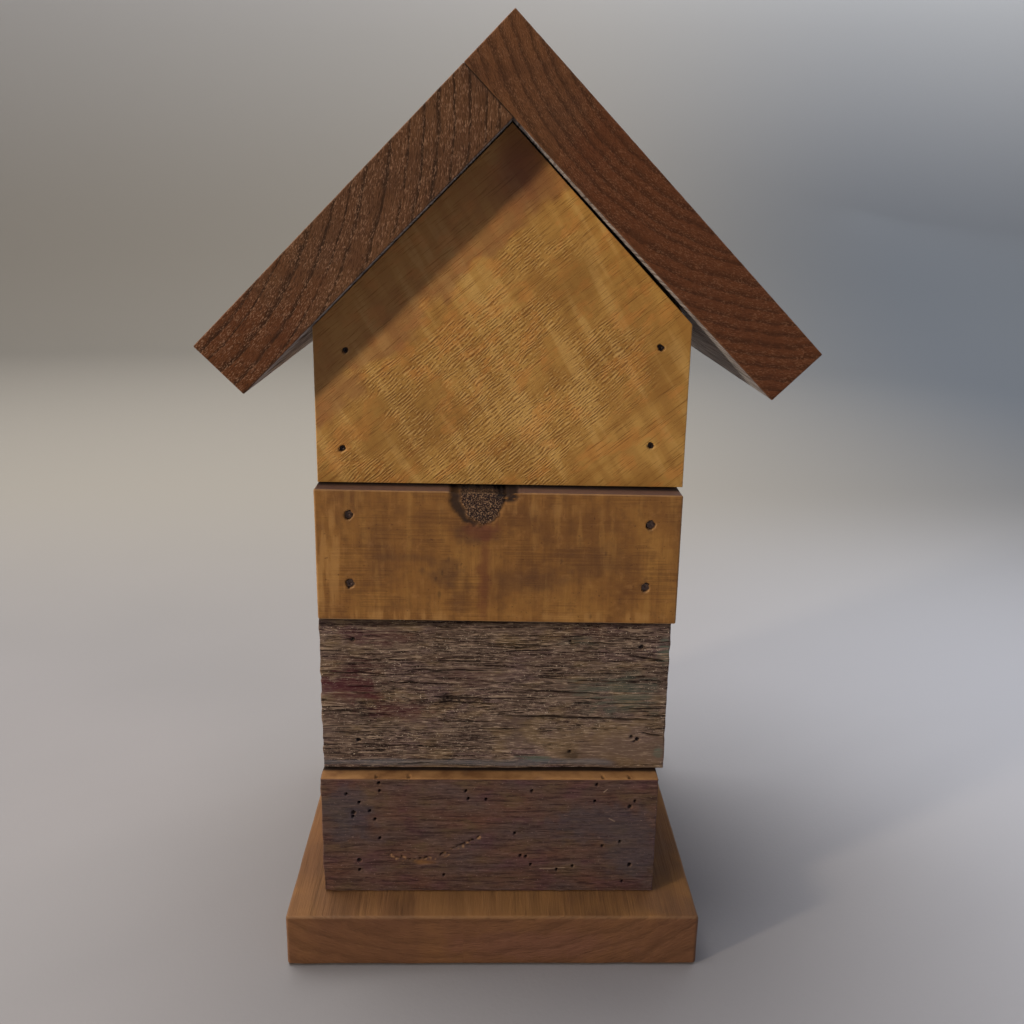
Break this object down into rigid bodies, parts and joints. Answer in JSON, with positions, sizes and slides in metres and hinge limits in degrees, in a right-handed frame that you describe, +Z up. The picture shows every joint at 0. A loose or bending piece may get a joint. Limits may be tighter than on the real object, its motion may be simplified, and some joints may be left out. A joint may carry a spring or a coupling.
{
  "type": "birdhouse",
  "caption": "Rustic gabled birdhouse of nailed reclaimed boards: hollow nest box, round entrance hole in the front gable end, lapped plank roof and projecting base plank.",
  "frame": {"origin": "centre of the base plank's underside", "axes": "+Z up; +X along the width, to the right when the rear end is looked at; the rear gable end faces -Y and the entrance hole faces +Y"},
  "size_m": [0.1872, 0.1524, 0.302],
  "materials": {
    "base_stain": "stained planed pine, satin",
    "side_pine": "stained pine, satin",
    "golden_sawn": "rough-sawn golden pine with diagonal saw marks",
    "knotty_pine": "stained knotty pine, satin",
    "weathered_grey": "grey weathered barn wood, cracked",
    "wormy_dark": "dark weathered wood with insect holes",
    "roof_brown": "brown stained board, end grain at both gable ends",
    "roof_red": "reddish stained board, end grain at both gable ends",
    "dark_brad": "dull dark steel",
    "nail_steel": "dull grey steel",
    "screw_zinc": "yellow zinc plated steel"
  },
  "bodies": {
    "root": {"base_plank": "base_stain", "left_side_wall": "side_pine", "right_side_wall": "side_pine", "rear_gable_panel": "golden_sawn", "rear_upper_board": "knotty_pine", "rear_middle_board": "weathered_grey", "rear_lower_board": "wormy_dark", "front_gable_panel": "golden_sawn", "front_entrance_board": "knotty_pine", "front_lower_board": "weathered_grey", "roof_left_board": "roof_brown", "roof_right_board": "roof_red", "rear_gable_brads": "dark_brad", "rear_upper_nails": "nail_steel", "rear_middle_brads": "dark_brad", "rear_lower_brads": "dark_brad", "front_gable_brads": "dark_brad", "front_entrance_nails": "nail_steel", "front_lower_nails": "nail_steel", "ridge_nails": "nail_steel", "roof_left_nails": "nail_steel", "roof_right_nails": "nail_steel", "base_screws": "screw_zinc"}
  },
  "joints": []
}
